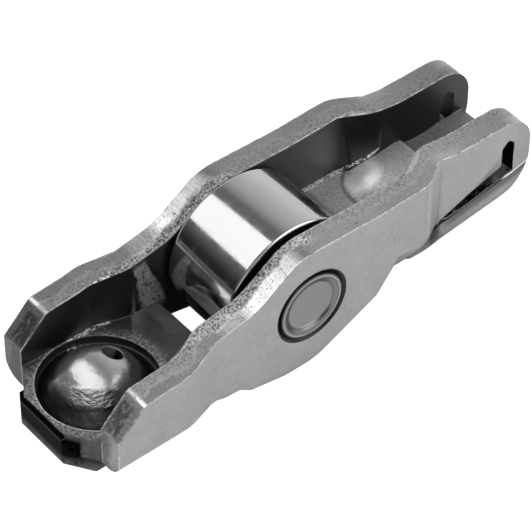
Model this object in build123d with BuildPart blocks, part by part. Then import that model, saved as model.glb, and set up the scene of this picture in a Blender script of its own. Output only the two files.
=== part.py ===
from build123d import *
from math import acos, asin, cos, radians, sin, sqrt
import os

# Roller finger follower, the rocker arm of an overhead-cam valve train.
# The arm is one stamped and folded sheet: a socket that sits on a ball pivot at one end,
# a needle roller that the cam runs on in the middle and a pad that pushes the valve at the other.
# Millimetres. The origin is the centre of the ball socket, +X runs to the valve, +Z to the cam.

# Sheet
sheet = 3.0
socket_bend = 2.2  # outside radii of the bends between the web and the walls
channel_bend = 3.0
crease_radius = 1.5  # hollow side of the joggles in the walls

# Walls in plan, half widths over their outer faces
socket_half = 9.75
middle_half = 8.45
valve_half = 6.45
socket_joggle_start = 4.7
socket_joggle_end = 8.8
valve_joggle_start = 37.4
valve_joggle_end = 40.8

# Walls from the side
wall_end_x = -4.8
wall_end_top = 4.5
corner_x = -1.3
corner_top = 7.95
corner_flat = 4.3  # length of the level stretch behind the corner
corner_rise = 0.3
shoulder_x = 14.1
shoulder_top = 10.2
hump_x = 19.9
hump_top = 14.15
saddle_x = 30.5
saddle_top = 13.75
valve_rise_x = 40.0
valve_rise_top = 14.1
valve_fall = 3.5
end_bend = 0.4  # radii of the outline's corners, from the socket end to the nose
corner_bend = 0.8
flat_bend = 8.0
shoulder_bend = 7.0
hump_bend = 6.0
saddle_bend = 30.0
valve_bend = 8.0
nose_top_bend = 3.9
nose_low_bend = 4.9
nose_top = 13.5
nose_end_x = 53.8
nose_end_z = 3.95

# Belly of the walls under the roller
belly_start_x = 6.9
belly_start_z = 1.3
belly_flat_x = 9.9
belly_flat_z = 0.25
belly_lip_x = 11.9
belly_lip_z = 0.1
belly_front_x = 13.3
belly_front_z = -0.95
belly_low_x = 18.0
belly_low_z = -1.9
belly_rise_x = 22.1
belly_back_x = 30.5
belly_back_z = 2.05
belly_end_x = 33.1
belly_end_z = 5.4
belly_flat_bend = 2.0  # radii of the belly's corners, from the socket end on
belly_lip_bend = 0.6
belly_front_bend = 0.8
belly_low_bend = 6.0
belly_back_bend = 1.2

# Ball socket and its dome
socket_radius = 3.9
crown_radius = 4.7
crown_top = 6.05
web_under_centre = 0.7  # depth of the web's underside below the ball's centre
moat_radius = 6.6
moat_depth = 1.1
moat_floor_width = 0.3
mouth_chamfer = 0.3
oil_hole_radius = 1.15
oil_hole_tilt = 20.0

# Tongue of the web in front of the walls
tongue_front = 7.0
tongue_front_half = 3.4
tongue_back_half = 6.7

# Opening in the web for the roller
window_start = 11.85
window_end = 32.0

# Web at the valve end
channel_web_under = 2.95
channel_web_end = 40.5
valve_web_under = 4.3
valve_web_end = 52.9
guide_start = 40.1
mound_x = 43.0
mound_radius = 11.0
mound_top = 8.5
mound_start = 35.0
mound_crest = 43.4
mound_end = 44.8
pad_x = 45.5
pad_radius = 20.0
pad_low = 3.9
valley_x = 46.8
valley_radius = 12.0
valley_depth = 0.4

# Guide strips under the valve end, pressed in from the walls' outer faces
strip_start = 35.0
strip_front_run = 2.5  # from the strip's start to the corners of its lower edge
strip_front_z = 0.7
strip_low_run = 5.2
strip_low_z = 0.6
strip_front_bend = 1.5
strip_low_bend = 8.0
strip_inset = 0.8
strip_taper_start = 42.0
strip_taper_end = 51.5
flank_start_x = 34.7
flank_rise_x = 37.3
flank_rise_z = 5.1
flank_bend = 2.0

# Groove sheared into each wall over the strip, with a leg that goes through the wall
groove_depth = 1.6
groove_tip_x = 40.4
groove_tip_z = 4.7
groove_low_x = 42.6
groove_low_z = 3.7
groove_mid_x = 45.2
groove_mid_low = 4.2
groove_mid_top = 6.45
groove_heel_x = 51.5
groove_heel_z = 6.15
leg_width = 1.8
leg_top = 11.1
leg_low = 6.0
groove_inner_z = 7.75
groove_radius = 0.4

# Axle, roller and needles
axle_x = 21.5
axle_z = 6.3
axle_radius = 4.1
hole_flare = 0.5
dish_radius = 3.2
dish_depth = 0.35
flare_angle = 45.0
roller_radius = 8.5
roller_side_play = 0.5
roller_chamfer = 0.35
needle_count = 18
needle_radius = 0.8
needle_setback = 0.45  # how far a needle's ends lie inside the roller's sides
needle_play = 0.02  # running clearance on each side of a needle

# Spring clip that holds the arm on its pivot
clip_sheet = 0.45
clip_top = 1.9
clip_under = -2.2
clip_bend = 0.6
clip_half = 6.3
clip_tab_reach = 4.8
clip_tab_top = 1.3
clip_mouth_radius = 3.4
clip_throat_half = 2.7
clip_arm_end = 3.6
clip_hole_radius = 0.35
clip_hole_inset = 0.6  # from the tab's end and from its top

# Worked out from the sizes above
web_under = -web_under_centre
web_top = web_under + sheet
channel_web_top = channel_web_under + sheet
valve_web_top = valve_web_under + sheet
overrun = 6.0
far_up = nose_top + overrun
far_down = clip_under - overrun
tail_x = -tongue_front - overrun
head_x = nose_end_x + overrun
convex_radius = crease_radius + sheet
pin_half = middle_half
roller_width = 2 * (middle_half - sheet - roller_side_play)
needle_length = roller_width - 2 * needle_setback
raceway_radius = axle_radius + 2 * (needle_radius + needle_play)
needle_pitch = axle_radius + needle_radius + needle_play
axle_plane = Plane(origin=(axle_x, 0, axle_z), x_dir=(1, 0, 0), z_dir=(0, -1, 0))
oil_plane = Plane(origin=(0, 0, 0), z_dir=(sin(radians(oil_hole_tilt)), 0, cos(radians(oil_hole_tilt))))
os.makedirs("parts", exist_ok=True)

# Plan of the folded channel over its outer faces; both ends overrun the arm
with BuildSketch() as outer_plan:
    with BuildLine():
        FilletPolyline(
            (tail_x, socket_half),
            (socket_joggle_start, socket_half),
            (socket_joggle_end, middle_half),
            (valve_joggle_start, middle_half),
            (valve_joggle_end, valve_half),
            (head_x, valve_half),
            radius=[convex_radius, crease_radius, convex_radius, crease_radius],
        )
        Line((head_x, valve_half), (head_x, 0))
        Line((head_x, 0), (tail_x, 0))
        Line((tail_x, 0), (tail_x, socket_half))
    make_face()
    mirror(about=Plane.XZ)

# Plan of the space between the walls, one sheet in from the outer faces
with BuildSketch() as inner_plan:
    add(outer_plan.sketch)
    offset(amount=-sheet, kind=Kind.INTERSECTION, mode=Mode.REPLACE)

# Space between the walls seen from the side: over the webs, through the roller's window
# and out past the end of the valve web
with BuildPart() as trough:
    with BuildSketch(Plane.XZ):
        with BuildLine():
            Polyline(
                (tail_x, web_top),
                (window_start, web_top),
                (window_start, far_down),
                (window_end, far_down),
                (window_end, channel_web_top),
                (channel_web_end, channel_web_top),
                (channel_web_end, valve_web_top),
                (valve_web_end, valve_web_top),
                (valve_web_end, far_down),
                (head_x, far_down),
                (head_x, far_up),
                (tail_x, far_up),
                close=True,
            )
        make_face()
    extrude(amount=socket_half, both=True)
    with BuildSketch(Plane.XY.offset(far_down)):
        add(inner_plan.sketch)
    extrude(amount=far_up - far_down, mode=Mode.INTERSECT)

# Guide under the valve web, which the valve's tip stands in; the pad bulges down into it
with BuildPart() as guide:
    with BuildSketch(Plane.XZ):
        with BuildLine():
            Polyline(
                (strip_start, far_down),
                (strip_start, channel_web_under),
                (guide_start, channel_web_under),
                (guide_start, valve_web_under),
                (head_x, valve_web_under),
                (head_x, far_down),
                close=True,
            )
        make_face()
        with Locations((pad_x, pad_low + pad_radius)):
            Circle(pad_radius, mode=Mode.SUBTRACT)
    extrude(amount=socket_half, both=True)
    with BuildSketch(Plane.XY.offset(far_down)):
        add(inner_plan.sketch)
    extrude(amount=far_up - far_down, mode=Mode.INTERSECT)

# Walls over the roller's window: their lower edge is sheared square into a belly
with BuildPart() as belly:
    with BuildSketch(Plane.XZ):
        with BuildLine():
            FilletPolyline(
                (belly_start_x, belly_start_z),
                (belly_flat_x, belly_flat_z),
                (belly_lip_x, belly_lip_z),
                (belly_front_x, belly_front_z),
                (belly_low_x, belly_low_z),
                (belly_rise_x, belly_low_z),
                (belly_back_x, belly_back_z),
                (belly_end_x, belly_end_z),
                radius=[
                    belly_flat_bend,
                    belly_lip_bend,
                    belly_front_bend,
                    belly_low_bend,
                    belly_low_bend,
                    belly_back_bend,
                ],
            )
            Polyline(
                (belly_end_x, belly_end_z),
                (belly_end_x, far_up),
                (belly_start_x, far_up),
                (belly_start_x, belly_start_z),
            )
        make_face()
    extrude(amount=socket_half, both=True)
    with BuildSketch(Plane.XY.offset(far_down)):
        add(outer_plan.sketch)
    extrude(amount=far_up - far_down, mode=Mode.INTERSECT)

# Channel under the valve end of the walls, with bends along its lower edges
with BuildPart() as channel:
    with BuildSketch(Plane.XY.offset(channel_web_under)):
        add(outer_plan.sketch)
        with Locations(((window_end + channel_web_end) / 2, 0)):
            Rectangle(channel_web_end - window_end, 2 * socket_half, mode=Mode.INTERSECT)
    extrude(amount=far_up - channel_web_under)
    channel_bends = channel.faces().sort_by(Axis.Z)[0].edges().filter_by(
        lambda edge: abs(edge.center().Y) > valve_half / 2
    )
    fillet(channel_bends, radius=channel_bend)

# Valve end: walls with the guide strips under them
with BuildPart() as valve_end:
    with BuildSketch(Plane.XY.offset(far_down)):
        add(outer_plan.sketch)
        with Locations(((channel_web_end + head_x) / 2, 0)):
            Rectangle(head_x - channel_web_end, 2 * socket_half, mode=Mode.INTERSECT)
        with Locations(((strip_start + head_x) / 2, 0)):
            Rectangle(head_x - strip_start, 2 * valve_half)
    extrude(amount=far_up - far_down)
    with BuildSketch(Plane.XZ):
        with BuildLine():
            FilletPolyline(
                (strip_start, channel_web_under),
                (strip_start + strip_front_run, strip_front_z),
                (strip_start + strip_low_run, strip_low_z),
                (nose_end_x, nose_end_z),
                (nose_end_x, far_up),
                radius=[strip_front_bend, strip_low_bend, nose_low_bend],
            )
            Polyline(
                (nose_end_x, far_up),
                (strip_start, far_up),
                (strip_start, channel_web_under),
            )
        make_face()
    extrude(amount=socket_half, both=True, mode=Mode.INTERSECT)

# What the press took off the outer faces: all below the groove and the rising edge of the wall
with BuildPart() as strip_flanks:
    with BuildSketch(Plane.XZ):
        with BuildLine():
            FilletPolyline(
                (flank_start_x, far_down),
                (flank_start_x, channel_web_under),
                (flank_rise_x, flank_rise_z),
                (groove_tip_x, groove_tip_z),
                radius=[flank_bend / 4, flank_bend],
            )
            Polyline(
                (groove_tip_x, groove_tip_z),
                (groove_mid_x, (groove_mid_low + groove_mid_top) / 2),
                (groove_heel_x, groove_heel_z),
                (groove_heel_x, far_down),
                (flank_start_x, far_down),
            )
        make_face()
    extrude(amount=socket_half, both=True)
    with BuildSketch(Plane.XY.offset(far_down)):
        with BuildLine():
            Polyline(
                (strip_start - overrun, valve_half - strip_inset),
                (strip_taper_start, valve_half - strip_inset),
                (strip_taper_end, valve_half),
                (strip_taper_end, socket_half),
                (strip_start - overrun, socket_half),
                close=True,
            )
        make_face()
        mirror(about=Plane.XZ)
    extrude(amount=far_up - far_down, mode=Mode.INTERSECT)

# Dome over the ball socket, running out into the moat round it with a straight flank
moat_floor = web_top - moat_depth
flank_x = moat_radius - moat_floor_width
crown_z = crown_top - crown_radius
# The flank is the tangent from its foot in the moat to the crown
foot_z = moat_floor - crown_z
foot_distance = sqrt(flank_x**2 + foot_z**2)
foot_angle = asin(foot_z / foot_distance) + acos(crown_radius / foot_distance)
crown_edge_x = crown_radius * cos(foot_angle)
crown_edge_z = crown_z + crown_radius * sin(foot_angle)
with BuildPart() as dome:
    with BuildSketch(Plane.XZ):
        with BuildLine():
            Polyline(
                (0, crown_top),
                (0, web_under),
                (flank_x, web_under),
                (flank_x, moat_floor),
                (crown_edge_x, crown_edge_z),
            )
            RadiusArc((crown_edge_x, crown_edge_z), (0, crown_top), -crown_radius)
        make_face()
    revolve(axis=Axis.Z)

# Mound across the web at the start of the valve end, ending in a crest over the pad
with BuildPart() as mound:
    with Locations((mound_x, 0, mound_top - mound_radius)):
        Sphere(mound_radius)
    with BuildSketch(Plane.XZ):
        with BuildLine():
            Polyline(
                (mound_start, channel_web_under),
                (mound_start, far_up),
                (mound_crest, far_up),
                (mound_crest, mound_top),
                (mound_end, valve_web_top - valley_depth),
                (mound_end, channel_web_under),
                close=True,
            )
        make_face()
    extrude(amount=socket_half, both=True, mode=Mode.INTERSECT)
    with BuildSketch(Plane.XY.offset(valve_web_under)):
        add(inner_plan.sketch)
    extrude(amount=far_up - valve_web_under, mode=Mode.INTERSECT)

# Grooves over the strips, with the leg at the nose end lanced through the wall
with BuildPart() as grooves:
    with BuildSketch(Plane.XZ):
        with BuildLine():
            FilletPolyline(
                (groove_tip_x, groove_tip_z),
                (groove_low_x, groove_low_z),
                (groove_mid_x, groove_mid_low),
                (groove_heel_x, groove_heel_z),
                (groove_heel_x, leg_top - leg_width / 2),
                (groove_heel_x - leg_width / 2, leg_top),
                (groove_heel_x - leg_width, leg_top - leg_width / 2),
                (groove_heel_x - leg_width, groove_inner_z),
                (groove_mid_x, groove_mid_top),
                radius=[0] + 7 * [groove_radius] + [0],
                close=True,
            )
        make_face()
    extrude(amount=socket_half, both=True)
    Box(2 * head_x, 2 * (valve_half - groove_depth), 2 * far_up, mode=Mode.SUBTRACT)
with BuildPart() as legs:
    with BuildSketch(Plane.XZ):
        with BuildLine():
            FilletPolyline(
                (groove_heel_x, leg_low),
                (groove_heel_x, leg_top - leg_width / 2),
                (groove_heel_x - leg_width / 2, leg_top),
                (groove_heel_x - leg_width, leg_top - leg_width / 2),
                (groove_heel_x - leg_width, leg_low),
                radius=[0, groove_radius, groove_radius, groove_radius, 0],
                close=True,
            )
        make_face()
    extrude(amount=socket_half, both=True)
    Box(2 * head_x, 2 * (valve_half - sheet), 2 * far_up, mode=Mode.SUBTRACT)

# Valley across the valve web, where its pad was pressed down
with BuildPart() as valley:
    with BuildSketch(Plane.XZ):
        with Locations((valley_x, valve_web_top - valley_depth + valley_radius)):
            Circle(valley_radius)
        with Locations((valley_x, valve_web_top)):
            Rectangle(2 * valley_radius, 2 * valley_depth, mode=Mode.INTERSECT)
    extrude(amount=valve_half - sheet, both=True)

# Arm: one folded sheet
with BuildPart() as arm_body:
    with BuildSketch(Plane.XY.offset(web_under)):
        add(outer_plan.sketch)
        with Locations(((wall_end_x + window_start) / 2, 0)):
            Rectangle(window_start - wall_end_x, 2 * socket_half, mode=Mode.INTERSECT)
    extrude(amount=far_up - web_under)
    socket_bends = arm_body.faces().sort_by(Axis.Z)[0].edges().filter_by(
        lambda edge: abs(edge.center().Y) > valve_half / 2
    )
    fillet(socket_bends, radius=socket_bend)
    with BuildSketch(Plane.XY.offset(web_under)):
        with BuildLine():
            Polyline(
                (wall_end_x, tongue_back_half),
                (-tongue_front, tongue_front_half),
                (-tongue_front, -tongue_front_half),
                (wall_end_x, -tongue_back_half),
                close=True,
            )
        make_face()
    extrude(amount=sheet)
    add(belly.part)
    add(channel.part)
    add(valve_end.part)
    # Outline of the walls from the side
    with BuildSketch(Plane.XZ):
        with BuildLine():
            FilletPolyline(
                (tail_x, far_down),
                (tail_x, wall_end_top),
                (wall_end_x, wall_end_top),
                (corner_x, corner_top),
                (corner_x + corner_flat, corner_top + corner_rise),
                (shoulder_x, shoulder_top),
                (hump_x, hump_top),
                (saddle_x, saddle_top),
                (valve_rise_x, valve_rise_top),
                (valve_rise_x + valve_fall, nose_top),
                (nose_end_x, nose_top),
                (nose_end_x, nose_end_z),
                (nose_end_x - nose_low_bend, far_down),
                radius=[
                    0,
                    end_bend,
                    corner_bend,
                    flat_bend,
                    shoulder_bend,
                    hump_bend,
                    saddle_bend,
                    valve_bend,
                    valve_bend,
                    nose_top_bend,
                    0,
                ],
            )
            Line((nose_end_x - nose_low_bend, far_down), (tail_x, far_down))
        make_face()
    extrude(amount=socket_half, both=True, mode=Mode.INTERSECT)
    add(trough.part, mode=Mode.SUBTRACT)
    # Mound and valley on the valve web, its pad, the grooves and the pressed strips
    add(mound.part)
    add(valley.part, mode=Mode.SUBTRACT)
    add(guide.part, mode=Mode.SUBTRACT)
    add(grooves.part, mode=Mode.SUBTRACT)
    add(legs.part, mode=Mode.SUBTRACT)
    add(strip_flanks.part, mode=Mode.SUBTRACT)
    # Moat, dome and ball socket
    with BuildSketch(Plane.XY.offset(moat_floor)):
        Circle(moat_radius)
    extrude(amount=crown_top, mode=Mode.SUBTRACT)
    add(dome.part)
    Sphere(socket_radius, mode=Mode.SUBTRACT)
    mouth_radius = sqrt(socket_radius**2 - web_under**2)
    with BuildSketch(Plane.XY.offset(web_under)):
        Circle(mouth_radius + mouth_chamfer)
    extrude(amount=2 * mouth_chamfer, taper=flare_angle, mode=Mode.SUBTRACT)
    # Oil hole from the socket out through the dome
    with BuildSketch(oil_plane):
        Circle(oil_hole_radius)
    extrude(amount=crown_top + sheet, mode=Mode.SUBTRACT)
    # Axle holes, flared at the outer faces
    with BuildSketch(axle_plane):
        Circle(axle_radius)
    extrude(amount=socket_half, both=True, mode=Mode.SUBTRACT)
    for side in (1, -1):
        with BuildSketch(axle_plane.offset(side * pin_half)):
            Circle(axle_radius + hole_flare)
        extrude(amount=-side * hole_flare, taper=flare_angle, mode=Mode.SUBTRACT)
arm_body.part.label = "arm_body"
export_step(arm_body.part, "parts/arm_body.step")

# Axle, pressed into the arm; its ends are dished by the staking punch and lie flush with the walls
with BuildPart() as axle_pin:
    with BuildSketch(axle_plane):
        Circle(axle_radius)
    extrude(amount=pin_half, both=True)
    for side in (1, -1):
        with BuildSketch(axle_plane.offset(side * pin_half)):
            Circle(dish_radius)
        extrude(amount=-side * dish_depth, taper=flare_angle, mode=Mode.SUBTRACT)
axle_pin.part.label = "axle_pin"
export_step(axle_pin.part, "parts/axle_pin.step")

# Roller that the cam runs on
with BuildPart() as roller_ring:
    with BuildSketch(axle_plane):
        Circle(roller_radius)
        Circle(raceway_radius, mode=Mode.SUBTRACT)
    extrude(amount=roller_width / 2, both=True)
    chamfer(roller_ring.edges().filter_by(GeomType.CIRCLE), length=roller_chamfer)
roller_ring.part.label = "roller_ring"
export_step(roller_ring.part, "parts/roller_ring.step")

# Needles, a full complement round the axle
for number in range(needle_count):
    turn = radians(360 * (number + 0.5) / needle_count)
    needle_plane = Plane(
        origin=(axle_x + needle_pitch * sin(turn), 0, axle_z + needle_pitch * cos(turn)),
        x_dir=(1, 0, 0),
        z_dir=(0, -1, 0),
    )
    with BuildPart() as needle:
        with BuildSketch(needle_plane):
            Circle(needle_radius)
        extrude(amount=needle_length / 2, both=True)
    needle.part.label = f"needle_{number + 1:02d}"
    export_step(needle.part, f"parts/needle_{number + 1:02d}.step")

# Spring clip: a plate under the ball's neck, folded up in front of the tongue and round its corners
diagonal_x = tongue_front - (-wall_end_x)
diagonal_y = tongue_back_half - tongue_front_half
diagonal_length = sqrt(diagonal_x**2 + diagonal_y**2)
clip_plate_top = clip_under + clip_sheet
hole_y = clip_tab_reach - clip_hole_inset
with BuildSketch() as behind_clip:
    with BuildLine():
        Polyline(
            (-tongue_front, tongue_front_half),
            (-tongue_front, -tongue_front_half),
            (wall_end_x, -tongue_back_half),
            (clip_arm_end + overrun, -tongue_back_half),
            (clip_arm_end + overrun, tongue_back_half),
            (wall_end_x, tongue_back_half),
            close=True,
        )
    make_face()

with BuildPart() as retainer_clip:
    with BuildSketch(Plane.XY.offset(clip_under)):
        add(behind_clip.sketch)
        offset(amount=clip_sheet, kind=Kind.INTERSECTION, mode=Mode.REPLACE)
        with Locations((clip_arm_end, 0)):
            Rectangle(
                clip_arm_end + tongue_front + 2 * clip_sheet,
                2 * clip_half,
                align=(Align.MAX, Align.CENTER),
                mode=Mode.INTERSECT,
            )
    extrude(amount=clip_top - clip_under)
    outer_fold = retainer_clip.faces().sort_by(Axis.Z)[0].edges().filter_by(
        lambda edge: edge.center().X < wall_end_x
    )
    fillet(outer_fold, radius=clip_bend)
    with BuildSketch(Plane.XY.offset(clip_plate_top)):
        add(behind_clip.sketch)
    extrude(amount=clip_top - clip_plate_top, mode=Mode.SUBTRACT)
    inner_fold = retainer_clip.edges().filter_by(
        lambda edge: abs(edge.center().Z - clip_plate_top) < 0.01 and edge.center().X < wall_end_x
    )
    fillet(inner_fold.sort_by(Axis.X)[:3], radius=clip_bend - clip_sheet)
    # Tabs stand lower than the front plate, and nothing stands up past them
    for side in (1, -1):
        with BuildSketch(Plane.XY.offset(clip_tab_top)):
            with Locations((wall_end_x, side * tongue_front_half)):
                Rectangle(
                    2 * tongue_front,
                    tongue_front,
                    align=(Align.CENTER, Align.MIN if side > 0 else Align.MAX),
                )
        extrude(amount=clip_top, mode=Mode.SUBTRACT)
        with BuildSketch(Plane.XY.offset(clip_plate_top)):
            with Locations((wall_end_x, side * clip_tab_reach)):
                Rectangle(
                    2 * tongue_front,
                    tongue_front,
                    align=(Align.CENTER, Align.MIN if side > 0 else Align.MAX),
                )
        extrude(amount=clip_top - clip_plate_top, mode=Mode.SUBTRACT)
        tab_plane = Plane(
            origin=(
                -tongue_front + (hole_y - tongue_front_half) * diagonal_x / diagonal_y,
                side * hole_y,
                clip_tab_top - clip_hole_inset,
            ),
            z_dir=(-diagonal_y / diagonal_length, side * diagonal_x / diagonal_length, 0),
        )
        with BuildSketch(tab_plane):
            Circle(clip_hole_radius)
        extrude(amount=2 * clip_sheet, mode=Mode.SUBTRACT)
    # Keyhole that the neck of the ball pivot snaps into
    with BuildSketch(Plane.XY.offset(clip_under)):
        Circle(clip_mouth_radius)
        with Locations((clip_arm_end, 0)):
            Rectangle(
                2 * clip_arm_end,
                2 * clip_throat_half,
            )
    extrude(amount=clip_sheet, mode=Mode.SUBTRACT)
retainer_clip.part.label = "retainer_clip"
export_step(retainer_clip.part, "parts/retainer_clip.step")
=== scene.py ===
# %% [markdown]
# # A roller finger follower
# This part sits in a cylinder head, between a ball pivot and the tip of a valve. A cam runs on
# its roller and the arm pushes the valve down. The real one is a stamped steel channel with
# a needle roller in the middle, so the whole lesson is about one material, steel, in four states:
# pressed and tumbled, sheared, ground to a mirror, and blackened.
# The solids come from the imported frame, in metres, and every visible surface here is laid over them.

# %% Load the frame
import math

import bmesh
import bpy
import numpy as np
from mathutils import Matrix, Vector


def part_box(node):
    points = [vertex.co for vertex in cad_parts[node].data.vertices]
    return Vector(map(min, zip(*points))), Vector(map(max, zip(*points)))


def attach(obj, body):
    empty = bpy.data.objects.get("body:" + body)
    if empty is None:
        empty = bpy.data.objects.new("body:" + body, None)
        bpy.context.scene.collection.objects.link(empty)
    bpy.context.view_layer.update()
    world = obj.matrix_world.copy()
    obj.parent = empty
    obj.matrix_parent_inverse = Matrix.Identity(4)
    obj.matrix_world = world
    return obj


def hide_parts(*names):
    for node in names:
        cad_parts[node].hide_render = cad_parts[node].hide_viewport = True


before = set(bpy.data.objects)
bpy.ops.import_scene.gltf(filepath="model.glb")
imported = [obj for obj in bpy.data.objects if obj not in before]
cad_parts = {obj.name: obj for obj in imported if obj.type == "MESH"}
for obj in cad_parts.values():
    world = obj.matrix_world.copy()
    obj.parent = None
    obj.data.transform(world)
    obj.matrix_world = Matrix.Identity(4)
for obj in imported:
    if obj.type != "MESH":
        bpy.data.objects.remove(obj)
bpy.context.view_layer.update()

MM = 0.001
print("frame nodes:", len(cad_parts))

# %% [markdown]
# ## Measuring from the frame
# The frame knows where each node stands, so the roller's centre and width and the needles' places
# are read from its boxes, and the axle's radius follows from them. The zones of the arm, further
# down, have numbers of their own in millimetres, because a box says nothing of joggles and moats.

# %% Sizes read from the frame
def box_mm(node):
    """Lowest and highest corner of a node, in millimetres."""
    low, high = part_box(node)
    return np.array(low) / MM, np.array(high) / MM


ring_low, ring_high = box_mm("roller_ring")
roller_centre = (ring_low + ring_high) / 2
roller_radius = (ring_high[2] - ring_low[2]) / 2
roller_half = (ring_high[1] - ring_low[1]) / 2
pin_low, pin_high = box_mm("axle_pin")
pin_half = (pin_high[1] - pin_low[1]) / 2
needles = sorted(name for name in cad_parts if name.startswith("needle_"))
needle_low, needle_high = box_mm(needles[0])
needle_radius = (needle_high[0] - needle_low[0]) / 2
needle_half = (needle_high[1] - needle_low[1]) / 2
needle_centres = [sum(box_mm(name)) / 2 for name in needles]
pitch_radius = math.hypot(*(needle_centres[0] - roller_centre)[[0, 2]])
play = 0.02
axle_radius = pitch_radius - needle_radius - play
raceway_radius = pitch_radius + needle_radius + play
floor_z = min(ring_low[2], box_mm("retainer_clip")[0][2])
print("roller", roller_centre, roller_radius, "pitch", pitch_radius)

# %% [markdown]
# ## Camera
# The camera stands in front of the socket end, to its left and above, and looks along the arm.
# A long lens keeps the two walls almost parallel, as the picture has them.
# The roll is a fraction of a degree, and it is worked into the camera's own axes.

# %% Camera
camera_azimuth = math.radians(-39.78)
camera_elevation = math.radians(45.58)
camera_roll = math.radians(0.44)
camera_distance = 330.24
camera_aim = Vector((22.28, 0.0, 5.03))
focal_pixels = 3135.1
picture_pixels = 532

back = Vector((
    math.sin(camera_azimuth) * math.cos(camera_elevation),
    -math.cos(camera_azimuth) * math.cos(camera_elevation),
    math.sin(camera_elevation),
))
level = Vector((0, 0, 1)).cross(back).normalized()
upright = back.cross(level)
right = math.cos(camera_roll) * level + math.sin(camera_roll) * upright
upward = math.cos(camera_roll) * upright - math.sin(camera_roll) * level

camera_data = bpy.data.cameras.new("camera")
camera_data.sensor_width = 36
camera_data.lens = focal_pixels / picture_pixels * camera_data.sensor_width
camera_data.clip_start = 0.01
camera = bpy.data.objects.new("camera", camera_data)
bpy.context.scene.collection.objects.link(camera)
placing = camera.matrix_world.copy()
for row in range(3):
    placing[row][0], placing[row][1], placing[row][2] = right[row], upward[row], back[row]
    placing[row][3] = (camera_aim[row] + camera_distance * back[row]) * MM
camera.matrix_world = placing
bpy.context.scene.camera = camera
bpy.context.scene.view_settings.view_transform = "Standard"
print("camera at", tuple(round(value, 4) for value in camera.matrix_world.translation))

# %% [markdown]
# ## Small tools for shaders
# A shader here is a chain of simple sums on a place or a direction. `Chain` keeps one node tree and
# lets each sum be written on one line; `Steel` is a chain that ends in a metal.

# %% Shader helpers
class Chain:
    """A node tree with helpers that add nodes and return their sockets."""

    def __init__(self, tree):
        self.tree = tree

    def feed(self, socket, value):
        """Links a socket to another, or sets it to a number or a colour."""
        if isinstance(value, bpy.types.NodeSocket):
            self.tree.links.new(value, socket)
        else:
            socket.default_value = value

    def split(self, vector):
        node = self.tree.nodes.new("ShaderNodeSeparateXYZ")
        self.feed(node.inputs[0], vector)
        return node.outputs

    def vector(self, operation, first, second=None, scale=None):
        node = self.tree.nodes.new("ShaderNodeVectorMath")
        node.operation = operation
        self.feed(node.inputs[0], first)
        if second is not None:
            self.feed(node.inputs[1], second)
        if scale is not None:
            self.feed(node.inputs["Scale"], scale)
        return node.outputs["Value"] if operation in ("LENGTH", "DOT_PRODUCT") else node.outputs[0]

    def sum(self, operation, first, second=0.0, third=0.0):
        node = self.tree.nodes.new("ShaderNodeMath")
        node.operation = operation
        for socket, value in zip(node.inputs, (first, second, third)):
            self.feed(socket, value)
        return node.outputs[0]

    def times(self, *factors):
        product = factors[0]
        for factor in factors[1:]:
            product = self.sum("MULTIPLY", product, factor)
        return product

    def plus(self, *terms):
        total = terms[0]
        for term in terms[1:]:
            total = self.sum("ADD", total, term)
        return total

    def fade(self, value, start, end, low=0.0, high=1.0):
        """Runs smoothly from low to high while value goes from start to end."""
        node = self.tree.nodes.new("ShaderNodeMapRange")
        node.interpolation_type = "SMOOTHSTEP"
        for socket, number in zip(node.inputs, (value, start, end, low, high)):
            self.feed(socket, number)
        return node.outputs[0]

    def between(self, share, low, high):
        """Goes from low to high with a share that runs from 0 to 1, eased as a fade is."""
        return self.fade(share, 0.0, 1.0, low, high)

    def without(self, share):
        """Is 1 where a share is 0, and 0 where it is 1."""
        return self.between(share, 1.0, 0.0)

    def weighed(self, *pairs):
        """The sum of values, each times its weight."""
        return self.plus(*[self.times(value, weight) for value, weight in pairs])

    def band(self, value, middle, flat, soft):
        """Is 1 within flat of the middle and falls to 0 over the soft width."""
        off = self.sum("ABSOLUTE", self.sum("SUBTRACT", value, middle))
        return self.fade(off, flat, flat + soft, 1.0, 0.0)

    def curve(self, value, points):
        """A broken line through points of place and height, both from 0 to 1."""
        node = self.tree.nodes.new("ShaderNodeValToRGB")
        stops = node.color_ramp.elements
        for place, height in points[1:-1]:
            stops.new(place)
        for stop, (place, height) in zip(sorted(stops, key=lambda stop: stop.position), points):
            stop.position = place
            stop.color = (height, height, height, 1)
        self.feed(node.inputs[0], value)
        return node.outputs[0]

    def blend(self, share, first, second):
        """Mixes two colours by a share from 0 to 1."""
        node = self.tree.nodes.new("ShaderNodeMix")
        node.data_type = "RGBA"
        self.feed(node.inputs[0], share)
        self.feed(node.inputs[6], (*first, 1) if isinstance(first, tuple) else first)
        self.feed(node.inputs[7], (*second, 1) if isinstance(second, tuple) else second)
        return node.outputs[2]


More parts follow.
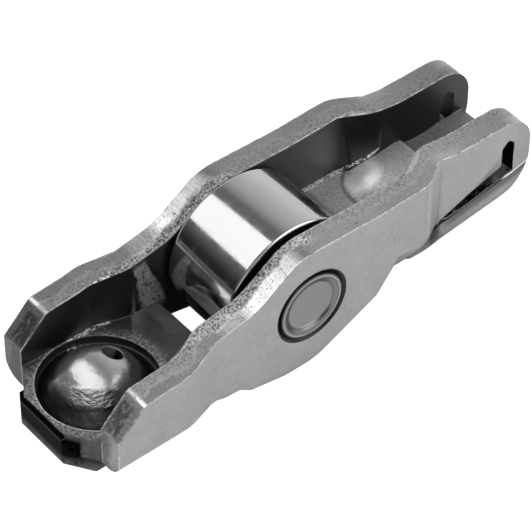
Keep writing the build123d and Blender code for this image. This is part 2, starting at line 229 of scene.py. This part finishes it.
class Steel(Chain):
    """One metal: a Principled shader, with places in millimetres of the object's own space."""

    def __init__(self, name, color, metallic, roughness):
        self.material = bpy.data.materials.new(name)
        self.material.use_nodes = True
        super().__init__(self.material.node_tree)
        self.shader = self.tree.nodes["Principled BSDF"]
        self.shader.inputs["Base Color"].default_value = (*color, 1)
        self.shader.inputs["Metallic"].default_value = metallic
        self.shader.inputs["Roughness"].default_value = roughness
        place = self.tree.nodes.new("ShaderNodeTexCoord").outputs["Object"]
        self.place = self.vector("SCALE", place, scale=1 / MM)
        self.x, self.y, self.z = self.split(self.place)

    def off(self, point, axes):
        """How far a place lies from a point, in millimetres, along the axes that are 1."""
        away = self.vector("SUBTRACT", self.place, tuple(point))
        return self.vector("LENGTH", self.vector("MULTIPLY", away, axes))

    def noise(self, scale, detail=4.0, roughness=0.6, stretch=(1, 1, 1), offset=(0, 0, 0)):
        """Noise around 0.5 with so many cells per millimetre, stretched along the axes."""
        node = self.tree.nodes.new("ShaderNodeTexNoise")
        spread = self.vector("MULTIPLY", self.place, stretch)
        self.feed(node.inputs["Vector"], self.vector("ADD", spread, offset))
        node.inputs["Scale"].default_value = scale
        node.inputs["Detail"].default_value = detail
        node.inputs["Roughness"].default_value = roughness
        return node.outputs[0]

    def cells(self, scale, stretch=(1, 1, 1)):
        """Distance to the nearest of scattered points, for nicks."""
        node = self.tree.nodes.new("ShaderNodeTexVoronoi")
        self.feed(node.inputs["Vector"], self.vector("MULTIPLY", self.place, stretch))
        node.inputs["Scale"].default_value = scale
        return node.outputs["Distance"]

    def rounded(self, radius_mm):
        """The surface's direction with its edges rounded off."""
        node = self.tree.nodes.new("ShaderNodeBevel")
        node.samples = 8
        node.inputs["Radius"].default_value = radius_mm * MM
        return node.outputs[0]

    def relief(self, height, depth_mm, edge_mm=0.0):
        """Bumps the shader by a height field, over edges that are rounded by edge_mm."""
        node = self.tree.nodes.new("ShaderNodeBump")
        node.inputs["Distance"].default_value = depth_mm * MM
        self.feed(node.inputs["Height"], height)
        if edge_mm:
            self.feed(node.inputs["Normal"], self.rounded(edge_mm))
        self.feed(self.shader.inputs["Normal"], node.outputs[0])

    def facing(self):
        """The surface's own direction, as three sockets."""
        return self.split(self.tree.nodes.new("ShaderNodeNewGeometry").outputs["True Normal"])

    def color(self, value):
        self.feed(self.shader.inputs["Base Color"], value)

    def rough(self, value):
        self.feed(self.shader.inputs["Roughness"], value)

    def metallic(self, value):
        self.feed(self.shader.inputs["Metallic"], value)

    def dress(self, *objects):
        for thing in objects:
            thing.data.materials.clear()
            thing.data.materials.append(self.material)


# %% [markdown]
# ## Light and floor
# Polished metal shows what stands round it, so the light is a picture that the steel reflects.
# Going round the roller's axis from the valve side, the room is bright near the table, falls to
# a dark gap overhead, then comes one wide soft box, and behind the socket end it's nearly black.
# The box runs along the roller's axis, so its edges are the straight edges of the white band.
# On the camera's side, towards -Y, the room is more even: half as strong, with a little grey added
# and one bright window low by the valve end. The floor glows plain white for the camera. The steel
# sees it greyer, and dark right under the part and far behind the socket end, which is a painted
# shadow.

# %% Light and floor
def soft_box(name, turn, spread, near, far, distance, radiance):
    """A lamp along the roller's axis, at an angle about it and that many degrees wide.

    Its centre is the aim plus the distance times (cos turn, 0, sin turn), and it runs from near to
    far along Y, in metres. A rectangle gives its power over pi times its area as radiance.
    """
    turn, half = math.radians(turn), math.radians(spread / 2)
    data = bpy.data.lights.new(name, "AREA")
    data.shape = "RECTANGLE"
    data.size, data.size_y = 2 * distance * math.tan(half), far - near
    data.energy = radiance * math.pi * data.size * data.size_y
    lamp = bpy.data.objects.new(name, data)
    bpy.context.scene.collection.objects.link(lamp)
    reach = Vector((distance * math.cos(turn), (near + far) / 2, distance * math.sin(turn)))
    lamp.location = camera_aim * MM + reach
    lamp.rotation_euler = (0, math.pi / 2 - turn, 0)
    return lamp


soft_box("band_box", turn=118.0, spread=49.0, near=-0.45, far=1.4, distance=0.65, radiance=1.35)

room_start, room_end = -20, 180
room_by_angle = [
    (-20, 0.8), (20, 0.8), (37, 0.66), (57, 0.52), (67, 0.38), (77, 0.18), (90, 0.19), (148, 0.15),
    (158, 0.08), (168, 0.03), (180, 0.02),
]
world = bpy.data.worlds.new("room")
world.use_nodes = True
bpy.context.scene.world = world
room = Chain(world.node_tree)
sky_direction = world.node_tree.nodes.new("ShaderNodeTexCoord").outputs["Generated"]
sky_x, sky_y, sky_z = room.split(sky_direction)
angle = room.sum("ARCTAN2", sky_z, sky_x)
room_span = room_end - room_start
share = room.times(room.plus(angle, -math.radians(room_start)), 1 / math.radians(room_span))
stops = [((degrees - room_start) / room_span, level) for degrees, level in room_by_angle]
sky = room.curve(share, stops)
front = room.fade(sky_y, 0.1, -0.5)
window_direction = (0.5, -0.8, 0.33)
window = room.fade(room.vector("DOT_PRODUCT", sky_direction, window_direction), 0.86, 0.95)
sky = room.weighed((sky, room.between(front, 1.0, 0.5)), (front, 0.12), (window, 1.6))
room.feed(world.node_tree.nodes["Background"].inputs["Strength"], sky)
world.node_tree.nodes["Background"].inputs["Color"].default_value = (1, 1, 1, 1)

floor_half_m = 1.5
floor_mesh = bpy.data.meshes.new("floor")
around = ((-1, -1), (1, -1), (1, 1), (-1, 1))
corners = [(x * floor_half_m, y * floor_half_m, floor_z * MM) for x, y in around]
floor_mesh.from_pydata(corners, [], [(0, 1, 2, 3)])
floor = bpy.data.objects.new("floor", floor_mesh)
bpy.context.scene.collection.objects.link(floor)

# %% Floor material
paper = Steel("floor_paper", (0.8, 0.8, 0.8), 0.0, 0.9)
part_middle = 26.0
# The floor's colour, and its glow as the steel sees it, are painted dark under the part and far behind
# the socket end: a painted shadow.
beside = paper.fade(paper.sum("ABSOLUTE", paper.y), 7.0, 9.5)
beyond = paper.fade(paper.sum("ABSOLUTE", paper.plus(paper.x, -part_middle)), 31.0, 32.0)
outside_painted_shadow = paper.times(paper.sum("MAXIMUM", beside, beyond), paper.fade(paper.x, -110.0, -40.0))
paper.color(paper.blend(outside_painted_shadow, (0.05, 0.05, 0.05), (0.8, 0.8, 0.8)))
rays = paper.tree.nodes.new("ShaderNodeLightPath").outputs
glow = paper.plus(rays["Is Camera Ray"], paper.times(rays["Is Glossy Ray"], outside_painted_shadow, 0.4))
paper.shader.inputs["Emission Color"].default_value = (1, 1, 1, 1)
paper.feed(paper.shader.inputs["Emission Strength"], glow)
paper.dress(floor)

# %% [markdown]
# ## Turned pieces
# The roller, the axle and the needles are all turned about an axis across the arm. Each is
# a profile, a list of radius and place along the axis, carried round a circle: a point of the grid
# is the centre plus the radius times the cosine and sine of the turn. Fine steps keep the
# mirror on the roller free of facets.

# %% Turned surface
def turned(name, centre, profile, steps, sharp=30.0):
    """A closed surface of revolution about the Y direction through a centre.

    Every grid point is (cx + r cos t, cy + a, cz + r sin t) for the profile's radius r and
    place a and for the turn t. A profile that starts and ends on the axis gets poles there,
    and one that doesn't is closed on itself, as a ring is.
    """
    radius, along = np.array(profile, float).T
    solid = radius[0] == 0 and radius[-1] == 0
    rows = np.arange(len(radius))[1:-1] if solid else np.arange(len(radius))
    turn = np.linspace(0, 2 * np.pi, steps, endpoint=False)
    grid = np.stack([
        centre[0] + radius[rows, None] * np.cos(turn),
        centre[1] + np.repeat(along[rows, None], steps, axis=1),
        centre[2] + radius[rows, None] * np.sin(turn),
    ], axis=-1).reshape(-1, 3)
    count = len(rows)
    first = np.arange(count - 1 if solid else count)[:, None] * steps
    here = np.arange(steps)[None, :]
    ahead = (here + 1) % steps
    above = (first + steps) % (count * steps)
    quads = np.stack([first + here, above + here, above + ahead, first + ahead], -1).reshape(-1, 4)
    faces = [tuple(quad) for quad in quads.tolist()]
    if solid:
        bottom, top = len(grid), len(grid) + 1
        poles = [(centre[0], centre[1] + place, centre[2]) for place in along[[0, -1]]]
        grid = np.vstack([grid, poles])
        last = (count - 1) * steps
        around = [(int(a), int(b)) for a, b in zip(here[0], ahead[0])]
        faces += [(bottom, a, b) for a, b in around] + [(last + a, top, last + b) for a, b in around]
    mesh = bpy.data.meshes.new(name)
    mesh.from_pydata((grid * MM).tolist(), [], faces)
    return finish_mesh(name, mesh, sharp)


def finish_mesh(name, mesh, sharp):
    """Links a mesh as an object, turns its faces outwards and shades it smooth up to an angle."""
    skin = bmesh.new()
    skin.from_mesh(mesh)
    bmesh.ops.recalc_face_normals(skin, faces=skin.faces)
    skin.to_mesh(mesh)
    skin.free()
    mesh.shade_smooth()
    mesh.set_sharp_from_angle(angle=math.radians(sharp))
    piece = bpy.data.objects.new(name, mesh)
    bpy.context.scene.collection.objects.link(piece)
    print(name, len(mesh.polygons), "faces")
    return piece


def rounded_corner(radius, along, size, start, end, steps=6):
    """Points of a corner's arc: its centre, its size and the angles where it starts and ends."""
    angle = np.radians(np.linspace(start, end, steps))
    return [(radius + size * np.cos(a), along + size * np.sin(a)) for a in angle]


# %% Roller
edge = 0.35
land = roller_radius - edge
profile = rounded_corner(land, -roller_half + edge, edge, -90, 0)
profile += rounded_corner(land, roller_half - edge, edge, 0, 90)
profile += rounded_corner(raceway_radius + edge, roller_half - edge, edge, 90, 180)
profile += rounded_corner(raceway_radius + edge, -roller_half + edge, edge, 180, 270)
roller = turned("roller_shell", roller_centre, profile, 256)
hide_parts("roller_ring")
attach(roller, "roller")

mirror = Steel("roller_mirror", (0.62, 0.62, 0.63), 1.0, 0.1)
hone_lines = mirror.noise(1.0, 4.0, 0.6, stretch=(0.6, 6.0, 0.6))
nicks = mirror.fade(mirror.cells(0.9, stretch=(1, 1.4, 1)), 0.12, 0.04)
mirror.relief(mirror.plus(hone_lines, mirror.times(nicks, -2.0)), 0.0012)
mirror.rough(mirror.fade(mirror.noise(0.5, 3.0, stretch=(1, 3, 1)), 0.3, 0.7, 0.08, 0.16))
mirror.dress(roller)

# %% Needles
tip = 0.25
for name, centre in zip(needles, needle_centres):
    profile = [(0, -needle_half)]
    profile += rounded_corner(needle_radius - tip, -needle_half + tip, tip, -90, 0, 4)
    profile += rounded_corner(needle_radius - tip, needle_half - tip, tip, 0, 90, 4)
    profile += [(0, needle_half)]
    needle = turned(name + "_shell", centre, profile, 32)
    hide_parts(name)
    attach(needle, "needle_set")
    mirror.dress(needle)

# %% Axle
dish = 3.2
deep = 0.35
half = [
    (0, -deep), (dish - deep - 0.12, -deep), (dish - deep, -deep + 0.05), (dish - 0.08, -0.12),
    (dish, -0.03), (dish + 0.12, 0.0), (axle_radius - 0.16, 0.0), (axle_radius - 0.05, -0.05),
    (axle_radius, -0.16),
]
profile = [(r, -pin_half - a) for r, a in half] + [(r, pin_half + a) for r, a in reversed(half)]
axle = turned("axle_shell", roller_centre, profile, 128)
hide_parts("axle_pin")
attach(axle, "arm")

# %% Axle material
# Rings as a share of the axle's radius, each with its tone: the flat disc, the slope of the dish
# and the staked rim. The thin dark rings at the edges of the slope and round the rim are painted
# shade, and the bright ring just inside the rim is a painted highlight. The slope is darker on the
# upper left, where it faces away from the light: painted shade.
rings_with_painted_light = [
    (0.0, 0.27), (0.71, 0.27), (0.73, 0.12), (0.76, 0.22), (0.84, 0.22), (0.86, 0.12), (0.88, 0.2),
    (0.91, 0.2), (0.93, 0.6), (0.95, 0.1), (1.0, 0.08),
]
axle_steel = Steel("axle_end", (0.3, 0.3, 0.305), 1.0, 0.3)
off_axis = axle_steel.off(roller_centre, (1, 0, 1))
ring_tone_with_painted_light = axle_steel.curve(axle_steel.times(off_axis, 1 / axle_radius), rings_with_painted_light)
up_left = axle_steel.plus(
    axle_steel.z, axle_steel.times(axle_steel.x, -1.0), roller_centre[0] - roller_centre[2]
)
slope_ring = axle_steel.band(off_axis, 3.24, 0.2, 0.1)
painted_shade = axle_steel.times(slope_ring, axle_steel.fade(up_left, -2.0, 2.5))
axle_steel.color(axle_steel.times(ring_tone_with_painted_light, axle_steel.between(painted_shade, 1.0, 0.25)))
axle_steel.dress(axle)

# %% [markdown]
# ## The stamped arm
# The arm's form is already right in the frame. Its mesh is loose triangles, so a copy is
# merged, its flat faces are joined, and it is shaded smooth over the folds. The edges are rounded
# in the shader alone.

# %% Arm and clip
def dressed_copy(name, node, body):
    """A merged copy of a node's mesh, smooth over its folds, which stands for that node."""
    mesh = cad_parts[node].data.copy()
    skin = bmesh.new()
    skin.from_mesh(mesh)
    bmesh.ops.remove_doubles(skin, verts=skin.verts, dist=0.001 * MM)
    bmesh.ops.dissolve_limit(skin, angle_limit=math.radians(0.5), verts=skin.verts, edges=skin.edges)
    skin.to_mesh(mesh)
    skin.free()
    mesh.shade_smooth()
    mesh.set_sharp_from_angle(angle=math.radians(24))
    piece = bpy.data.objects.new(name, mesh)
    bpy.context.scene.collection.objects.link(piece)
    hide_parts(node)
    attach(piece, body)
    print(name, len(mesh.polygons), "faces")
    return piece


arm = dressed_copy("arm_skin", "arm_body", "arm")
clip = dressed_copy("clip_skin", "retainer_clip", "arm")

# %% [markdown]
# ## Zones of the arm
# One sheet, but many skins. Each zone is found from where a point lies and which way it faces. The
# walls' inner faces stand at three half widths, with a fade in the joggles between them, and
# `across` is how far a point lies outside them, so a sheared edge goes from 0 to 3 mm.
# The web is what lies between the walls, less the dome in its moat. The strip is the guide's
# outer face, below a lip that rises to the valve, and the groove is the slot over it, which is
# painted dark as shade.

# %% Arm zones
socket_inner, roller_inner, valve_inner = 6.75, 5.45, 3.45
socket_joggle = (4.7, 8.8)
valve_joggle = (37.4, 40.8)
pad_start = (34.6, 34.9)
pad_underside = (3.1, 2.9)
moat_radius = 6.6
hole_flare = 0.3
lip_start, lip_height, lip_slope = 42.6, 3.55, 0.27

pressed = Steel("arm_pressed", (0.42, 0.42, 0.425), 1.0, 0.38)
nx, ny, nz = pressed.facing()
far_side = pressed.fade(pressed.y, -1.0, 1.0)
valve_side = pressed.fade(pressed.x, 31.0, 33.0)
under_pad = pressed.times(pressed.fade(pressed.z, *pad_underside), pressed.fade(pressed.x, *pad_start))
stepped_in = pressed.sum("MAXIMUM", pressed.fade(pressed.x, *valve_joggle), under_pad)
inner_half = pressed.plus(
    pressed.fade(pressed.x, *socket_joggle, socket_inner, roller_inner),
    pressed.times(stepped_in, valve_inner - roller_inner),
)
across = pressed.sum("SUBTRACT", pressed.sum("ABSOLUTE", pressed.y), inner_half)
outward = pressed.times(ny, pressed.sum("SIGN", pressed.y))
in_wall = pressed.fade(across, -0.15, 0.1)
outer = pressed.times(pressed.fade(outward, 0.35, 0.7), pressed.fade(across, 1.2, 1.8))
inner = pressed.fade(outward, -0.35, -0.7)
sheared = pressed.times(in_wall, pressed.fade(pressed.sum("ABSOLUTE", ny), 0.6, 0.35))
from_ball = pressed.off((0, 0, 0), (1, 1, 0))
domed = pressed.times(
    pressed.fade(from_ball, moat_radius + 0.04, moat_radius - 0.04), pressed.fade(pressed.z, 0.9, 1.1)
)
web = pressed.times(pressed.without(in_wall), pressed.without(domed), pressed.without(inner))
# The flare round the axle's hole, painted dark further down as shade in the gap.
painted_hole_rim_shade = pressed.band(pressed.off(roller_centre, (1, 0, 1)), axle_radius + hole_flare, 0.2, 0.12)
lip_line = pressed.plus(lip_height, pressed.times(pressed.plus(pressed.x, -lip_start), lip_slope))
below_lip = pressed.sum("SUBTRACT", lip_line, pressed.z)
strip = pressed.times(pressed.fade(below_lip, -0.2, 0.1), pressed.fade(pressed.x, 39.5, 41.5), outer)
painted_groove_shade = pressed.times(
    in_wall, pressed.without(inner), pressed.fade(across, 2.95, 2.85), pressed.fade(nz, 0.9, 0.5),
    pressed.fade(pressed.x, 40.0, 40.4), pressed.fade(pressed.x, 52.4, 52.2),
    pressed.fade(pressed.z, 11.4, 11.2), pressed.fade(below_lip, 0.3, 0.1),
)

# %% [markdown]
# ## What shearing and tumbling leave
# Shearing leaves two lanes on an edge: a burnished one along the outside, with fine lines across,
# and a torn one along the inside, full of crumbs. The border between them wanders with the noise, and
# on the shoulder before the roller the torn lane is chipped as well. Tumbling leaves small dents.

# %% Marks in the sheet
grain = pressed.noise(5.0, 6.0, 0.7)
lumps = pressed.noise(1.1, 3.0, 0.55)
wide = pressed.noise(0.25, 2.0, 0.5, offset=(5, 5, 5))
crumbs = pressed.noise(4.0, 4.0, 0.75, stretch=(1, 0.8, 1), offset=(3, 9, 2))
shear_lines = pressed.noise(4.0, 3.0, 0.6, stretch=(2.0, 0.15, 2.0))
off_lumps = pressed.plus(lumps, -0.5)
off_wide = pressed.plus(wide, -0.5)

pits = pressed.fade(pressed.noise(3.4, 3.0, 0.6, stretch=(0.6, 1.5, 1.5), offset=(4, 0, 9)), 0.6, 0.68)
pitted = pressed.fade(pressed.noise(0.6, 3.0, offset=(7, 3, 1)), 0.42, 0.52)
dents = pressed.times(pits, pressed.sum("MAXIMUM", pitted, pressed.fade(across, 1.7, 1.1)))

shoulder = pressed.band(pressed.x, 14.5, 6.0, 4.0)
lane_edge = pressed.plus(
    pressed.between(shoulder, 1.6, 1.1), pressed.weighed((off_lumps, 1.4), (off_wide, 3.0))
)
torn = pressed.times(
    pressed.fade(pressed.sum("SUBTRACT", lane_edge, across), -0.5, 0.5),
    pressed.between(shoulder, 0.55, 1.0),
)
burnished = pressed.sum("SUBTRACT", 1.0, torn)
chips = pressed.fade(pressed.noise(2.2, 3.0, 0.6, offset=(8, 1, 5)), 0.46, 0.56)
chipped = pressed.times(chips, pressed.fade(across, 1.3, 0.7), shoulder)

# %% Ripples on the dome
ripple_centre = (-2.7, -2.75, 4.0)
from_ripples = pressed.vector("SUBTRACT", pressed.place, ripple_centre)
ripples_along = pressed.vector("DOT_PRODUCT", from_ripples, (0.77, -0.64, 0.0))
ripples_up = pressed.vector("DOT_PRODUCT", from_ripples, (0.46, 0.55, 0.7))
rippled = pressed.times(
    pressed.band(ripples_along, 0.0, 1.9, 1.3), pressed.band(ripples_up, 0.0, 0.7, 0.7)
)
ripples = pressed.times(pressed.noise(1.7, 2.0, 0.5, stretch=(1, 1, 2.4)), rippled)

# %% Arm height field
outer_relief = pressed.weighed((grain, 0.6), (dents, -0.8))
torn_relief = pressed.weighed((grain, 0.6), (pressed.fade(crumbs, 0.4, 0.62), 1.4), (chipped, 6.0))
burnished_relief = pressed.weighed((shear_lines, 0.3), (grain, 0.35), (dents, -0.9))
sheared_relief = pressed.weighed((torn, torn_relief), (burnished, burnished_relief))
mound_top = (38.3, 2.9, 0.0)
mound_rise = pressed.fade(pressed.off(mound_top, (1, 1, 0)), 3.6, 0.0, 0.0, 13.0)
web_relief = pressed.plus(
    pressed.weighed((grain, pressed.fade(from_ball, 7.0, 9.0, 1.6, 0.8)), (lumps, 1.2)), mound_rise
)
dome_waves = pressed.noise(0.36, 1.0, 0.4, offset=(3, 1, 2))
dome_lumps = pressed.noise(0.9, 2.0, 0.5, offset=(1, 7, 3))
dome_relief = pressed.weighed((dome_waves, 5.0), (dome_lumps, 1.3), (ripples, 3.0))
height = pressed.weighed(
    (outer, outer_relief), (sheared, sheared_relief), (web, web_relief),
    (inner, pressed.times(grain, 0.4)), (domed, dome_relief),
)
pressed.relief(height, depth_mm=0.05, edge_mm=0.3)

# %% [markdown]
# ## How light each skin is, with painted light and shade
# A tone is how much of the light the steel gives back. Each zone gets its own, and what lies on
# it, such as a dent, a scuff or the shade under a lip, multiplies it or adds to it. Many of these
# are painted light: painted shade in the groove, under the lip, between the walls and round the
# dome, and painted highlights on edges, crumbs, the shoulder and the mound.

# %% Tone of the outer faces
# Under the lip the strip is painted darker, a painted shade, and a painted highlight runs along the
# lip's edge.
painted_shade_under_lip = pressed.times(pressed.fade(below_lip, 2.0, 0.35), pressed.fade(pressed.x, 41.0, 44.0))
painted_lip_glint = pressed.band(below_lip, 0.02, 0.06, 0.1)
strip_tone = pressed.plus(pressed.between(painted_shade_under_lip, 0.38, 0.16), painted_lip_glint)
# The facet of the joggle is painted lighter: a painted highlight.
painted_joggle_highlight = pressed.band(pressed.x, 39.0, 1.3, 0.4)
face_tone = pressed.plus(0.19, pressed.weighed((lumps, 0.1), (grain, 0.25), (wide, 0.06)))
# Towards the nose, past x = 50, the outer faces are painted a little darker, as shade.
outer_tone = pressed.times(
    pressed.weighed((face_tone, pressed.without(strip)), (strip, strip_tone)),
    pressed.fade(pressed.x, 50.0, 53.0, 1.0, 0.85),
    pressed.between(painted_hole_rim_shade, 1.0, 0.1), pressed.between(painted_joggle_highlight, 1.0, 1.45),
)

# %% Tone of the sheared edges
# On the shoulder the burnished lane is painted brighter, with stronger lines, and the crumbs brighter
# too: a painted highlight.
painted_shoulder_highlight = pressed.band(pressed.x, 14.0, 2.8, 2.4)
crumb_low, crumb_high = pressed.between(shoulder, 0.17, 0.06), pressed.between(shoulder, 0.62, 1.2)
torn_tone = pressed.times(
    pressed.fade(crumbs, 0.38, 0.6, crumb_low, crumb_high), pressed.between(chipped, 1.0, 1.7)
)
burnished_tone = pressed.plus(
    pressed.between(painted_shoulder_highlight, 0.34, 0.42),
    pressed.weighed((shear_lines, pressed.between(painted_shoulder_highlight, 0.16, 0.7)), (grain, 0.26)),
)
# A painted highlight: a bright line across the sheared tops at x = -1.25.
painted_ridge_highlight = pressed.band(pressed.x, -1.25, 0.12, 0.25)
chamfer = pressed.fade(nx, -0.45, -0.65)
end_face = pressed.fade(nx, -0.6, -0.8)
blotch = pressed.noise(1.3, 4.0, 0.65, stretch=(1, 1.6, 0.7), offset=(2, 6, 4))
blotches = pressed.times(
    chamfer, pressed.band(across, 1.2, 0.7, 0.4), pressed.band(pressed.z, 6.0, 1.0, 0.5),
    pressed.fade(blotch, 0.36, 0.5),
)
# The tops on the far side are painted darker, their end faces much darker, and the tops darker towards
# the nose: painted shade.
sheared_tone = pressed.times(
    pressed.weighed((torn, torn_tone), (burnished, burnished_tone), (painted_ridge_highlight, 0.5)),
    pressed.between(dents, 1.0, 0.4), pressed.between(far_side, 1.0, 0.78),
    pressed.fade(pressed.x, 42.0, 50.0, 1.0, 0.8), pressed.between(chamfer, 1.0, 0.6),
    pressed.between(end_face, 1.0, pressed.between(far_side, 0.95, 0.4)),
    pressed.between(blotches, 1.0, 0.38),
)

# %% Tone of the web
by_moat = pressed.fade(pressed.plus(from_ball, pressed.times(off_lumps, 2.0)), 8.2, 7.0)
socket_web = pressed.plus(
    0.11, pressed.weighed((lumps, 0.08), (by_moat, pressed.fade(crumbs, 0.4, 0.65, 0.0, 0.45)))
)
valve_web = pressed.plus(pressed.fade(crumbs, 0.35, 0.65, 0.22, 0.5), pressed.times(grain, 0.4))
# A painted highlight on the mound's flank, made paler and less metallic.
mound_highlight_centre = (37.8, 2.4, 0.0)
crease_centre, crease_radius = (39.6, 1.2, 0.0), 4.4
painted_mound_highlight = pressed.fade(pressed.off(mound_highlight_centre, (1, 1, 0)), 2.6, 0.2)
# The crease round the mound's foot is painted darker: a painted shade.
painted_crease_shade = pressed.times(
    pressed.band(pressed.off(crease_centre, (1, 1, 0)), crease_radius, 0.05, 0.35),
    pressed.fade(pressed.x, 39.0, 37.5),
)
# A painted highlight along the crest before the pad.
painted_crest_highlight = pressed.times(pressed.band(pressed.x, 43.6, 0.15, 0.25), pressed.fade(pressed.z, 8.0, 8.2))
# Past the crest the pad is painted darker, as shade in its hollow.
web_tone = pressed.times(
    pressed.weighed((valve_side, valve_web), (pressed.without(valve_side), socket_web)),
    pressed.fade(pressed.x, 43.4, 44.6, 1.0, 0.5), pressed.between(painted_crease_shade, 1.0, 0.5),
    pressed.fade(nx, -0.4, -0.6, 1.0, 0.7),
)
web_tone = pressed.plus(web_tone, pressed.weighed((painted_mound_highlight, 1.2), (painted_crest_highlight, 0.3)))

# %% Tone of the inner faces, painted dark as shade between the walls, with the scuffed patch in the far wall's joggle
off_scuff = pressed.plus(pressed.x, pressed.weighed((pressed.z, 0.28), (lumps, 0.8)), -12.6)
scuff_edge = pressed.fade(pressed.z, 7.5, 3.5, 1.1, 1.8)
scuff_core = pressed.fade(pressed.z, 7.5, 3.5, 0.8, 1.2)
scuff = pressed.times(
    pressed.fade(pressed.sum("ABSOLUTE", off_scuff), scuff_edge, scuff_core), far_side,
    pressed.band(pressed.z, 5.2, 3.0, 1.5), pressed.fade(pressed.x, 13.6, 12.6),
    pressed.fade(crumbs, 0.36, 0.58, 0.1, 1.0),
)
# The inner faces are painted darker than the steel is, as shade between the walls, and darker still
# before x = 8 and past the valve joggle.
inner_tone_and_painted_shade = pressed.times(
    pressed.fade(pressed.x, 8.0, 12.0, 0.115, 0.22), pressed.fade(pressed.x, 34.0, 37.6, 1.0, 0.35),
    pressed.fade(pressed.x, 38.5, 42.0, 1.0, 0.85),
)
inner_tone_and_painted_shade = pressed.plus(inner_tone_and_painted_shade, pressed.times(scuff, 0.5))

# %% Painted glints on the crumbs in the corner of the web and the far wall
mound_start, mound_slope, web_top = 36.8, 0.58, 6.08
climb = pressed.times(pressed.sum("MAXIMUM", pressed.plus(pressed.x, -mound_start), 0.0), mound_slope)
over_web = pressed.sum("SUBTRACT", pressed.z, pressed.plus(climb, web_top))
on_wall = pressed.times(
    inner, pressed.band(over_web, 0.05, 0.18, 0.12), pressed.band(pressed.x, 36.0, 4.6, 0.4)
)
at_socket = pressed.times(
    pressed.band(across, -0.3, 0.2, 0.2), pressed.fade(pressed.sum("ABSOLUTE", nz), 0.2, 0.5),
    pressed.band(pressed.x, 3.6, 2.6, 0.4),
)
at_valve = pressed.times(
    web, pressed.band(across, -0.08, 0.08, 0.06), pressed.band(pressed.x, 34.5, 3.0, 0.4)
)
glint_noise = pressed.noise(2.6, 1.0, 0.5, stretch=(0.7, 1.5, 1.5))
# These are painted highlights, bright and less metallic, where the crumbs catch the light.
painted_glints = pressed.times(
    pressed.plus(on_wall, at_socket, at_valve), far_side, pressed.fade(glint_noise, 0.46, 0.53)
)

# %% Tone of the dome, its moat and the oil hole, with painted shade
oil_hole, oil_axis = (1.65, 0.0, 4.53), (0.342, 0.0, 0.94)
from_oil_hole = pressed.vector("SUBTRACT", pressed.place, oil_hole)
off_oil_axis = pressed.vector("LENGTH", pressed.vector("CROSS_PRODUCT", from_oil_hole, oil_axis))
# The dome is painted darker down its flank into the moat and low down, and dark inside the oil hole:
# painted shade. The rippled patch is a little darker.
dome_tone_and_painted_shade = pressed.times(
    pressed.between(pressed.fade(from_ball, 3.9, 4.9), 0.6, 0.13),
    pressed.between(pressed.fade(pressed.z, 3.6, 2.6), 1.0, 0.6),
    pressed.between(rippled, 1.0, 0.65), pressed.fade(off_oil_axis, 1.1, 1.25, 0.15, 1.0),
)
# A painted highlight: a bright rim round the moat, on its socket side only.
painted_moat_rim_highlight = pressed.times(
    pressed.band(from_ball, moat_radius + 0.02, 0.06, 0.12), pressed.fade(pressed.x, 0.0, -2.0), web
)

# %% Arm colour, gloss and metal
# Painted highlights: broken bright lines along the outer and inner edges of the sheared tops.
outer_lip = pressed.band(across, 2.93, 0.04, 0.06)
inner_lip = pressed.band(across, 0.08, 0.04, 0.06)
broken = pressed.fade(pressed.noise(1.4, 2.0, offset=(2, 2, 2)), 0.4, 0.55)
painted_edge_highlights = pressed.times(sheared, pressed.sum("MAXIMUM", outer_lip, inner_lip), broken)
tone = pressed.weighed(
    (outer, outer_tone), (sheared, sheared_tone), (inner, inner_tone_and_painted_shade), (web, web_tone),
    (domed, dome_tone_and_painted_shade), (painted_edge_highlights, 0.4), (painted_glints, 1.2), (painted_moat_rim_highlight, 0.5),
)
# The groove is painted nearly black: a painted shade.
tone = pressed.times(tone, pressed.between(painted_groove_shade, 1.0, 0.03))
pressed.color(pressed.blend(tone, (0.0, 0.0, 0.0), (1.0, 1.0, 1.01)))
pressed.rough(pressed.weighed(
    (outer, 0.36), (pressed.times(sheared, torn), 0.4), (pressed.times(sheared, burnished), 0.27),
    (inner, 0.4), (web, pressed.between(valve_side, 0.42, 0.33)), (domed, 0.3),
))
dull_web = pressed.times(web, valve_side, pressed.between(painted_mound_highlight, 1.0, 0.75))
dull = pressed.sum("MAXIMUM", dull_web, pressed.sum("MAXIMUM", scuff, painted_glints))
pressed.metallic(pressed.between(dull, 1.0, 0.25))
pressed.dress(arm)

# %% [markdown]
# ## The clip
# Black oxide, so it is nearly without colour or gloss. It is paler in patches towards its lower
# edge, and a painted highlight, a thin line of light, runs along the top fold.

# %% Clip material
black = Steel("clip_black", (0.01, 0.01, 0.011), 0.0, 0.32)
black.relief(black.noise(6.0), depth_mm=0.004, edge_mm=0.12)
pale_low_patches = black.times(black.fade(black.z, -0.2, -1.8), black.fade(black.noise(0.8), 0.2, 0.6))
# A painted highlight along the top fold.
top_line = black.band(black.z, 1.55, 0.03, 0.05)
low_patches_and_top_glint = black.weighed((pale_low_patches, 0.2), (top_line, 0.12))
black.color(black.blend(low_patches_and_top_glint, (0.003, 0.003, 0.003), (1.0, 1.0, 1.0)))
black.shader.inputs["Specular IOR Level"].default_value = 0.01
black.dress(clip)
